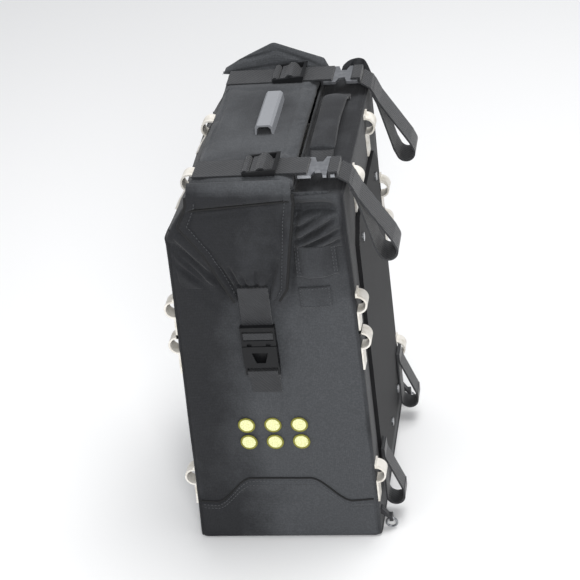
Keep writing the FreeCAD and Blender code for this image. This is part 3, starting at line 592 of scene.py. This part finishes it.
label_low, label_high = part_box("label_patches")
grab_low, grab_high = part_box("end_grabs")
for end, sign in ENDS:
    edges = (label_low[0], label_high[0], label_low[2], label_high[2])
    label = end_patch(end + "_label", *edges, lambda s: 0.0014, sign)
    label.data.materials.append(coated_weave)
    sx, sz = border(*edges, 0.0018)
    sewn = np.stack([sx, sign * (END_Y - end_depth(sx, sz) + 0.0017), sz], -1)
    thread = stitches(end + "_label_stitches", sewn, (0, sign, 0), pitch=0.0036, long=0.0024)
    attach(thread, "bag")
    edges = (grab_low[0], grab_high[0], grab_low[2], grab_high[2])
    grab = end_patch(end + "_finger_loop", *edges, finger_room, sign)
    grab.data.materials.append(coated_weave)
    for side, x0, x1 in (("outer", edges[0], edges[0] + 0.0056), ("rack", edges[1] - 0.0056, edges[1])):
        sx, sz = border(x0, x1, edges[2], edges[3], 0.0013)
        sewn = np.stack([sx, sign * (END_Y - end_depth(sx, sz) + 0.0021), sz], -1)
        thread = stitches(f"{end}_finger_loop_{side}_stitches", sewn, (0, sign, 0))
        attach(thread, "bag")
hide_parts("label_patches")
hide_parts("end_grabs")


# ---- gathered gussets ---------------------------------------------------------------------
# Where the mouth's spare cloth folds in behind the end flap, it bunches up in five short deep
# creases on the rack side, and in three shallower ones on the outer side.
def gusset_points(x0, x1, z0, z1, swell, lines, sign):
    """A pillow on the end panel: a bell in each direction, cut by creases."""
    u, v = np.meshgrid(np.linspace(0, 1, 60), np.linspace(0, 1, 64))
    x, z = x0 + (x1 - x0) * u, z0 + (z1 - z0) * v
    hump = (np.sin(np.pi * np.clip(u, 0, 1)) ** 0.35) * (np.sin(np.pi * np.clip(v, 0, 1)) ** 0.35)
    depth = (swell + 0.003) * hump - 0.003 - creases(x, z, lines) * hump
    return np.stack([x, sign * (END_Y - end_depth(x, z) + depth), z], -1)


for end, sign in ENDS:
    for side, args in (("rack", (0.045, 0.101, 0.384, 0.4285, 0.0105,
                                 ((0.046, 0.392, 0.100, 0.4235, 0.0120, 0.0030),
                                  (0.046, 0.4065, 0.088, 0.4290, 0.0100, 0.0026),
                                  (0.052, 0.384, 0.101, 0.4095, 0.0095, 0.0026),
                                  (0.072, 0.383, 0.102, 0.3965, 0.0070, 0.0024),
                                  (0.047, 0.4190, 0.068, 0.4300, 0.0070, 0.0022)))),
                       ("outer", (-0.085, -0.038, 0.336, 0.412, 0.0046,
                                  ((-0.086, 0.404, -0.040, 0.346, 0.0060, 0.0030),
                                   (-0.086, 0.388, -0.042, 0.334, 0.0050, 0.0028),
                                   (-0.084, 0.370, -0.050, 0.336, 0.0034, 0.0030))))):
        gusset = surface(f"{end}_{side}_gusset", gusset_points(*args, sign), flip=sign > 0)
        gusset.data.materials.append(coated_weave)
        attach(gusset, "bag")

# ---- rolled mouth -------------------------------------------------------------------------
# The mouth's two stiffened lips are rolled together and pressed flat. The cloth puffs between the
# two cross straps, and each turn of the roll leaves a long soft line.
roll_low, roll_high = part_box("roll")
STRAP_Y = (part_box("front_hook")[0][1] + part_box("front_hook")[1][1]) / 2


def puff(piece, pressure, cap, frames=18):
    """Inflates a closed piece as cloth, then keeps each point within cap of where it began."""
    start = np.empty(len(piece.data.vertices) * 3)
    piece.data.vertices.foreach_get("co", start)
    cloth = piece.modifiers.new("cloth", "CLOTH")
    cloth.settings.quality = 5
    cloth.settings.use_pressure = True
    cloth.settings.uniform_pressure_force = pressure
    cloth.settings.tension_stiffness = 12
    cloth.settings.compression_stiffness = 12
    cloth.settings.bending_stiffness = 0.4
    cloth.settings.effector_weights.gravity = 0.0
    cloth.collision_settings.use_collision = False
    cloth.point_cache.frame_end = frames
    for step in range(1, frames + 1):
        bpy.context.scene.frame_set(step)
    made = piece.evaluated_get(bpy.context.evaluated_depsgraph_get()).to_mesh()
    moved = np.empty_like(start)
    made.vertices.foreach_get("co", moved)
    piece.modifiers.remove(cloth)
    bpy.context.scene.frame_set(1)
    start, moved = start.reshape(-1, 3), moved.reshape(-1, 3)
    shift = moved - start
    size = np.linalg.norm(shift, axis=1, keepdims=True)
    return start + shift * np.minimum(1, cap / np.maximum(size, 1e-9))


def press(piece, points):
    """Puts the points into the piece."""
    piece.data.vertices.foreach_set("co", np.ascontiguousarray(points).ravel())
    piece.data.update()


def roll_points():
    """A flat oval carried along Y, with its ends drawn in, and a shallow line for each turn."""
    a, y = np.meshgrid(np.linspace(0, 2 * np.pi, 96, endpoint=False), np.linspace(-1, 1, 110))
    mid_x, half_x = (roll_low[0] + roll_high[0]) / 2, (roll_high[0] - roll_low[0]) / 2
    mid_z, half_z = (roll_low[2] + roll_high[2]) / 2, (roll_high[2] - roll_low[2]) / 2
    c, s = np.cos(a), np.sin(a)
    x = mid_x + (half_x - 0.001) * np.sign(c) * np.abs(c) ** 0.35
    z = mid_z + (half_z - 0.0012) * np.sign(s) * np.abs(s) ** 0.45
    tuck = np.sqrt(np.clip(1 - ((np.abs(y) - 0.97) / 0.03).clip(0, 1) ** 2, 0, 1))
    z = mid_z + (z - mid_z) * (0.35 + 0.65 * tuck)
    y = y * (roll_high[1] - 0.0015)
    lines = creases(x, y, ((-0.022, -0.14, -0.018, 0.14, 0.0016, 0.0022),
                           (0.036, -0.14, 0.033, 0.14, 0.0026, 0.0022),
                           (-0.049, -0.15, -0.047, 0.15, 0.0024, 0.0020),
                           (-0.042, -0.06, -0.030, 0.05, 0.0012, 0.0060),
                           (-0.050, -0.10, -0.010, -0.078, 0.0022, 0.005),
                           (0.050, -0.085, 0.012, -0.070, 0.0020, 0.005),
                           (-0.048, 0.085, -0.006, 0.070, 0.0016, 0.005),
                           (0.048, 0.090, 0.016, 0.060, 0.0014, 0.005)))
    z = z - lines * (z > mid_z)
    return np.stack([x, y, z], -1)


roll = surface("rolled_mouth", roll_points(), wrap=True, flip=True, close=True)
points = puff(roll, 3.0, 0.0035)
near_strap = np.exp(-((np.abs(points[:, 1]) - STRAP_Y) / 0.026) ** 4)
keeper_low, keeper_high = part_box("top_loop")
near_keeper = (np.exp(-((points[:, 0] - (keeper_low[0] + keeper_high[0]) / 2) / 0.020) ** 4)
               * np.exp(-((points[:, 1] - (keeper_low[1] + keeper_high[1]) / 2) / 0.050) ** 4))
ceiling = roll_high[2] + 0.0030 * (1 - np.maximum(near_strap, near_keeper)) - 0.0003
points[:, 2] = np.clip(points[:, 2], roll_low[2] + 0.0002, ceiling)
press(roll, points)
modify(roll, "SUBSURF", levels=1)
roll.data.materials.append(coated_weave)
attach(roll, "roll_top")
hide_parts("roll")

# The unsewn sleeve of the mouth, folded down flat between the body and the roll. It is a fixed
# shape, not attached to the roll.
cx, cy, nx, ny = ring_template(24, 4)
level = np.linspace(throat_low[2] - 0.002, throat_high[2] + 0.003, 30)[:, None]
sleeve_mid, sleeve_half = (throat_low[0] + throat_high[0]) / 2, (throat_high[0] - throat_low[0]) / 2
fold = 0.0008 * np.sin(np.arange(30) * 2.2)[:, None]
x = sleeve_mid + cx * (sleeve_half - 0.007) + nx * (0.006 + fold)
y = cy * (throat_high[1] - 0.007) + ny * (0.006 + fold)
sleeve = surface("mouth_sleeve", np.stack([x, y, level + 0 * x], -1), wrap=True)
modify(sleeve, "SOLIDIFY", thickness=0.0012, offset=-1.0)
sleeve.data.materials.append(coated_weave)
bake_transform(sleeve)
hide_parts("throat")

# ---- gathered folds at the front end ------------------------------------------------------
# The front end of the roll is not drawn down, so its cloth stands up in a peaked ridge beyond
# the strap. The gusset beside it stands up in a lower one.
fold_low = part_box("end_fold")[0]


def ridge_points(profile, y0, y1, foot, lines):
    """An arch carried along X: its height follows the profile, points of x and z, and its
    two feet stand at y0 and y1. It narrows towards the top and at its ends."""
    px, pz = np.array(profile).T
    a, x = np.meshgrid(np.linspace(0, np.pi, 48), np.linspace(px[0], px[-1], 110))
    near = [np.interp(x + d, px, pz) for d in (-0.003, -0.0015, 0, 0.0015, 0.003)]
    height = sum(near) / 5 - foot
    ends = np.clip(np.minimum(x - px[0], px[-1] - x) / 0.010, 0, 1) ** 0.5
    y = (y0 + y1) / 2 + (y1 - y0) / 2 * np.cos(a) * (1 - 0.55 * np.sin(a) ** 2) * (0.45 + 0.55 * ends)
    z = foot + height * np.sin(a) ** 0.75
    y = y + (a > np.pi / 2) * creases(x, z, lines)
    return np.stack([x, y, z], -1)


for name, body, profile, y0, y1, foot, lines in (
        ("front_gathered_fold", "roll_top",
         [(-0.066, 0.455), (-0.0645, 0.4665), (-0.036, 0.482), (-0.002, 0.4975), (0.029, 0.485),
          (0.058, 0.4735), (0.060, 0.456)], 0.1346, 0.1465, fold_low[2] - 0.004,
         ((-0.064, 0.463, 0.040, 0.4745, 0.0030, 0.0016), (-0.058, 0.474, 0.000, 0.4870, 0.0022, 0.0016),
          (0.052, 0.466, -0.004, 0.4900, 0.0018, 0.0022))),
        ("front_gusset_fold", "bag",
         [(0.070, 0.444), (0.074, 0.462), (0.084, 0.4705), (0.096, 0.473), (0.104, 0.469),
          (0.110, 0.444)], 0.1352, 0.1460, 0.442,
         ((0.078, 0.446, 0.092, 0.472, 0.0030, 0.0018), (0.094, 0.446, 0.100, 0.470, 0.0026, 0.0018)))):
    ridge = surface(name, ridge_points(profile, y0, y1, foot, lines))
    modify(ridge, "SUBSURF", levels=1)
    ridge.data.materials.append(coated_weave)
    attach(ridge, body)
    if body == "roll_top":
        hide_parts("end_fold")

# ---- end flaps ----------------------------------------------------------------------------
# Each end of the roll is folded down into a triangle of doubled cloth, which narrows to the
# webbing of the buckle. A hem with a bound lower edge makes a band along the top, the two sides
# are bound as well, and the point is wrinkled. The black bindings are also painted shadow: they
# draw the dark lines under the hem and along the sides.
flap_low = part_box("rear_flap")[0]
FLAP_ROWS, FLAP_COLUMNS = 180, 100
OVER_EDGE = 0.09
HANG_ROW = int(np.ceil(OVER_EDGE * (FLAP_ROWS - 1)))
SEWN_ROWS, SEAM_COLUMN = slice(24, 171), 7
HEM_Z, HEM_SLOPE = 0.438, 0.07


def flap_points(sign):
    """Down the flap, the path leaves the roll, turns over its edge and hangs. Across, each row
    runs between the two cut edges. Creases and a hem shape it outwards."""
    t, s = np.meshgrid(np.linspace(0, 1, FLAP_ROWS), np.linspace(0, 1, FLAP_COLUMNS),
                       indexing="ij")
    turn = np.clip(t / OVER_EDGE, 0, 1) * np.pi / 2
    fall = np.clip((t - OVER_EDGE) / (1 - OVER_EDGE), 0, 1)
    top = roll_high[2] + 0.0004
    z = np.where(t < OVER_EDGE, top - 0.012 * (1 - np.cos(turn)), top - 0.012
                 - (top - 0.012 - flap_low[2]) * fall)
    depth = np.where(t < OVER_EDGE, END_Y - 0.004 + 0.0090 * np.sin(turn), END_Y + 0.0050)
    heights = [flap_low[2], 0.340, 0.386, 0.420, 0.4436, 0.470]
    left = np.interp(z, heights, [-0.0215, -0.0280, -0.0480, -0.0705, -0.0590, -0.0575])
    right = np.interp(z, heights, [0.0250, 0.0345, 0.0425, 0.0490, 0.0530, 0.0525])
    x = left + (right - left) * s
    above_hem = z - 0.0005 - HEM_Z - HEM_SLOPE * (x + 0.06)
    hem = 0.0018 / (1 + np.exp(-above_hem / 0.0007)) * (z < 0.456)
    lines = creases(x, z, ((-0.064, 0.4370, 0.052, 0.4455, 0.0026, 0.0024),
                           (-0.062, 0.4300, 0.030, 0.4370, 0.0012, 0.0040),
                           (-0.036, 0.374, -0.015, 0.324, 0.0046, 0.0026),
                           (-0.025, 0.370, -0.010, 0.324, 0.0038, 0.0021),
                           (-0.012, 0.362, -0.004, 0.324, 0.0026, 0.0020),
                           (0.006, 0.366, 0.001, 0.324, 0.0030, 0.0024),
                           (0.030, 0.378, 0.012, 0.324, 0.0044, 0.0028),
                           (0.020, 0.358, 0.007, 0.326, 0.0030, 0.0019),
                           (-0.020, 0.345, 0.016, 0.338, 0.0016, 0.0030),
                           (-0.046, 0.400, -0.018, 0.350, 0.0012, 0.0060),
                           (0.036, 0.420, 0.022, 0.360, 0.0014, 0.0050),
                           (-0.060, 0.440, 0.020, 0.4385, 0.0008, 0.0040)))
    edge = np.minimum(s, 1 - s)
    curl = 0.0030 * np.exp(-(edge / 0.06) ** 2) * np.clip((0.452 - z) / 0.02, 0, 1)
    belly = 0.0016 * np.sin(np.pi * s) * np.sin(np.pi * np.clip((z - 0.33) / 0.10, 0, 1))
    groove = 0.0011 * (np.exp(-((s - 0.915) / 0.008) ** 2) + np.exp(-((s - 0.085) / 0.008) ** 2))
    under = 0.0014 * (z < 0.345) * (np.abs(x + 0.002) < 0.019)
    y = sign * (depth + hem + belly + curl - lines - groove - under)
    return np.stack([x, y, z], -1)


def fold_with_flap(piece):
    """Bakes the piece's placement into its points. It is not attached to the roll or to the flap."""
    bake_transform(piece)


for end, sign in ENDS:
    flap = surface(end + "_end_flap", flap_points(sign), flip=sign < 0)
    modify(flap, "SOLIDIFY", thickness=0.0028, offset=-1.0)
    flap.data.materials.append(coated_weave)
    fold_with_flap(flap)
    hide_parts(end + "_flap")
    flap_grid = flap_points(sign)
    # The black side bindings, just under the flap's edges, also paint the shadow beneath them.
    for side, column in (("outer", 0), ("rack", -1)):
        beyond = 0.0012 if side == "rack" else -0.0012
        bound = bead_along(f"{end}_flap_{side}_shadow_binding",
                           flap_grid[HANG_ROW:, column] + (beyond, -sign * 0.0014, 0),
                           (0, sign, 0), 0.0019)
        bound.data.materials.append(shadow_line_binding)
        fold_with_flap(bound)
        seam = SEAM_COLUMN if side == "outer" else -1 - SEAM_COLUMN
        edge = flap_grid[SEWN_ROWS, seam] + (0, sign * 0.0004, 0)
        thread = stitches(f"{end}_flap_{side}_stitches", edge, (0, sign, 0))
        fold_with_flap(thread)
    row = np.abs(flap_grid[HANG_ROW:, 0, 2] - HEM_Z).argmin() + HANG_ROW
    hem_x = np.interp(np.linspace(0.02, 0.98, 60), (0, 1), flap_grid[row, (0, -1), 0])
    hem_z = HEM_Z + HEM_SLOPE * (hem_x + 0.06)
    # The black hem edge also paints the shadow line under the band.
    hem = bead_along(end + "_flap_hem_shadow_edge",
                     np.stack([hem_x, sign * (END_Y + 0.0056) + 0 * hem_x, hem_z], -1),
                     (0, sign, 0), 0.0013)
    hem.data.materials.append(shadow_line_binding)
    fold_with_flap(hem)

# ---- carry handle -------------------------------------------------------------------------
# Webbing runs through a foam-filled sleeve of the shell's cloth, which is sewn shut underneath.
grip_low, grip_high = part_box("handle_grip")


def grip_points():
    """An oval carried along Y, full in the middle and drawn in to the webbing at each end."""
    a, y = np.meshgrid(np.linspace(0, 2 * np.pi, 40, endpoint=False), np.linspace(-1, 1, 70))
    full = 0.45 + 0.55 * np.sqrt(np.clip(1 - np.abs(y) ** 10, 0, 1))
    mid_x, half_x = (grip_low[0] + grip_high[0]) / 2, (grip_high[0] - grip_low[0]) / 2
    mid_z, half_z = (grip_low[2] + grip_high[2]) / 2, (grip_high[2] - grip_low[2]) / 2
    x = mid_x + half_x * np.cos(a) * (0.9 + 0.1 * full)
    z = mid_z + 0.0015 * (1 - y * y) + (half_z - 0.0012) * np.sin(a) * full
    return np.stack([x, y * (grip_high[1] + 0.004), z], -1)


grip = surface("padded_grip", grip_points(), wrap=True, flip=True, close=True)
press(grip, puff(grip, 4.0, 0.0015))
modify(grip, "SUBSURF", levels=1)
grip.data.materials.append(coated_weave)
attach(grip, "handle")
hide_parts("handle_grip")

# ---- woven webbing ------------------------------------------------------------------------
# Nylon webbing with a herringbone face. The real ribs are 1 mm apart, and are drawn at 2 mm.
woven_webbing, tree, face = finish_of("woven_nylon_webbing", Roughness=0.62, IOR=1.5,
                                      Sheen_Weight=0.2, Sheen_Roughness=0.4)
place = add(tree, "TexCoord")
rib = add(tree, "TexWave", {"Vector": place.outputs["Object"], "Scale": 150.0, "Distortion": 0.6},
          bands_direction="DIAGONAL")
across = add(tree, "TexWave", {"Vector": place.outputs["Object"], "Scale": 150.0}, bands_direction="Y")
face_weave = add(tree, "Math", {0: rib.outputs[1], 1: across.outputs[1]}, operation="MAXIMUM")
wear = add(tree, "TexNoise", {"Vector": place.outputs["Object"], "Scale": 60.0, "Detail": 3.0})
two_tone(tree, face, wear.outputs[0], "#1d1e20", "#333437")
ribs = add(tree, "Bump", {"Height": face_weave.outputs[0], "Strength": 0.5, "Distance": 0.0006})
tree.links.new(ribs.outputs[0], face.inputs["Normal"])

web_low, web_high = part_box("handle_webbing")
for end, sign in ENDS:
    s, t = np.meshgrid(np.linspace(-1, 1, 14), np.linspace(0, 1, 24))
    ease = t * t * (3 - 2 * t)
    x = (web_low[0] + web_high[0]) / 2 + (web_high[0] - web_low[0]) / 2 * s
    y = sign * (web_high[1] + 0.0012 - 0.024 * t)
    z = web_low[2] + 0.0008 + (grip_low[2] + 0.0076 - web_low[2] - 0.0008) * ease
    tail = surface(end + "_handle_tail", np.stack([x, y, z], -1), flip=sign > 0)
    modify(tail, "SOLIDIFY", thickness=0.0018, offset=0.0)
    tail.data.materials.append(woven_webbing)
    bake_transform(tail)
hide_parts("handle_webbing")

# ---- hard parts and trim from the frame ---------------------------------------------------
# Acetal buckles and ladder locks: black, lightly textured by the mould, with a soft highlight.
moulded_acetal, tree, face = finish_of("moulded_acetal", Roughness=0.5, IOR=1.48,
                                       Specular_IOR_Level=0.3)
place = add(tree, "TexCoord")
spark = add(tree, "TexNoise", {"Vector": place.outputs["Object"], "Scale": 900.0, "Detail": 2.0})
flow = add(tree, "TexNoise", {"Vector": place.outputs["Object"], "Scale": 45.0})
two_tone(tree, face, flow.outputs[0], "#0e0e10", "#191a1c")
grain = add(tree, "Bump", {"Height": spark.outputs[0], "Strength": 0.25, "Distance": 0.0003})
tree.links.new(grain.outputs[0], face.inputs["Normal"])

# Hooks stamped from aluminium plate and tumbled: pale grey, with fine scuffs.
tumbled_aluminium, tree, face = finish_of("tumbled_aluminium", Metallic=1.0)
place = add(tree, "TexCoord")
scuff = add(tree, "TexNoise", {"Vector": place.outputs["Object"], "Scale": 240.0, "Detail": 6.0})
two_tone(tree, face, scuff.outputs[0], "#84868a", "#b2b4b8")
rough = add(tree, "MapRange", {0: scuff.outputs[0], 3: 0.32, 4: 0.55})
tree.links.new(rough.outputs[0], face.inputs["Roughness"])

# Rings and rivets of plated steel wire, darker and smoother than the hooks.
plated_steel, tree, face = finish_of("plated_steel", Metallic=1.0)
place = add(tree, "TexCoord")
scuff = add(tree, "TexNoise", {"Vector": place.outputs["Object"], "Scale": 400.0, "Detail": 4.0})
two_tone(tree, face, scuff.outputs[0], "#7d7f82", "#a9abae")
rough = add(tree, "MapRange", {0: scuff.outputs[0], 3: 0.22, 4: 0.40})
tree.links.new(rough.outputs[0], face.inputs["Roughness"])

# Lashing loops cut from rubber-coated fabric, off-white, with road dust in the grain.
coated_strip, tree, face = finish_of("rubber_coated_strip", Roughness=0.48, IOR=1.52)
place = add(tree, "TexCoord")
dust = add(tree, "TexNoise", {"Vector": place.outputs["Object"], "Scale": 120.0, "Detail": 5.0})
amount = add(tree, "MapRange", {0: dust.outputs[0], 1: 0.45, 2: 0.8})
two_tone(tree, face, amount.outputs[0], "#ece8e0", "#c9c2b4")
grain = add(tree, "Bump", {"Height": dust.outputs[0], "Strength": 0.2, "Distance": 0.0004})
tree.links.new(grain.outputs[0], face.inputs["Normal"])

# The keeper on the roll is undyed grey webbing.
grey_webbing, tree, face = finish_of("grey_polyester_webbing", Roughness=0.6)
place = add(tree, "TexCoord")
rib = add(tree, "TexWave", {"Vector": place.outputs["Object"], "Scale": 150.0}, bands_direction="Y")
two_tone(tree, face, rib.outputs[1], "#7f8185", "#9b9da1")
ribs = add(tree, "Bump", {"Height": rib.outputs[1], "Strength": 0.4, "Distance": 0.0005})
tree.links.new(ribs.outputs[0], face.inputs["Normal"])

# Retroreflective film, yellow-green, with a honeycomb of sealed cells about 2.5 mm across.
reflective_film, tree, face = finish_of("retroreflective_film", Roughness=0.3, Coat_Weight=0.4)
place = add(tree, "TexCoord")
cell = add(tree, "TexVoronoi", {"Vector": place.outputs["Object"], "Scale": 400.0},
           feature="DISTANCE_TO_EDGE")
wall = add(tree, "MapRange", {0: cell.outputs[0], 1: 0.02, 2: 0.10})
two_tone(tree, face, wall.outputs[0], "#dcdc8a", "#f8f8bf")

# HDPE board and extruded piping: near black, with a faint grain.
hdpe_board, tree, face = finish_of("sheet_hdpe", Roughness=0.65, Specular_IOR_Level=0.2)
place = add(tree, "TexCoord")
pebble = add(tree, "TexVoronoi", {"Vector": place.outputs["Object"], "Scale": 600.0})
cloud = add(tree, "TexNoise", {"Vector": place.outputs["Object"], "Scale": 20.0})
two_tone(tree, face, cloud.outputs[0], "#131315", "#202022")
grain = add(tree, "Bump", {"Height": pebble.outputs[0], "Strength": 0.3, "Distance": 0.0003})
tree.links.new(grain.outputs[0], face.inputs["Normal"])

finish_by_slot = {"webbing": woven_webbing, "moulding": moulded_acetal, "alloy": tumbled_aluminium,
                  "steel": plated_steel, "coated_strip": coated_strip, "grey_webbing": grey_webbing,
                  "reflector": reflective_film, "label": coated_weave, "board": hdpe_board,
                  "piping": hdpe_board, "liner": coated_liner, "shell": coated_weave,
                  "grip": coated_weave}
for part in frame["record"]["subparts"]:
    node = frame["nodes"][part["node"]]
    for i in range(len(node.material_slots)):
        node.material_slots[i].material = finish_by_slot[part["material_slot"]]
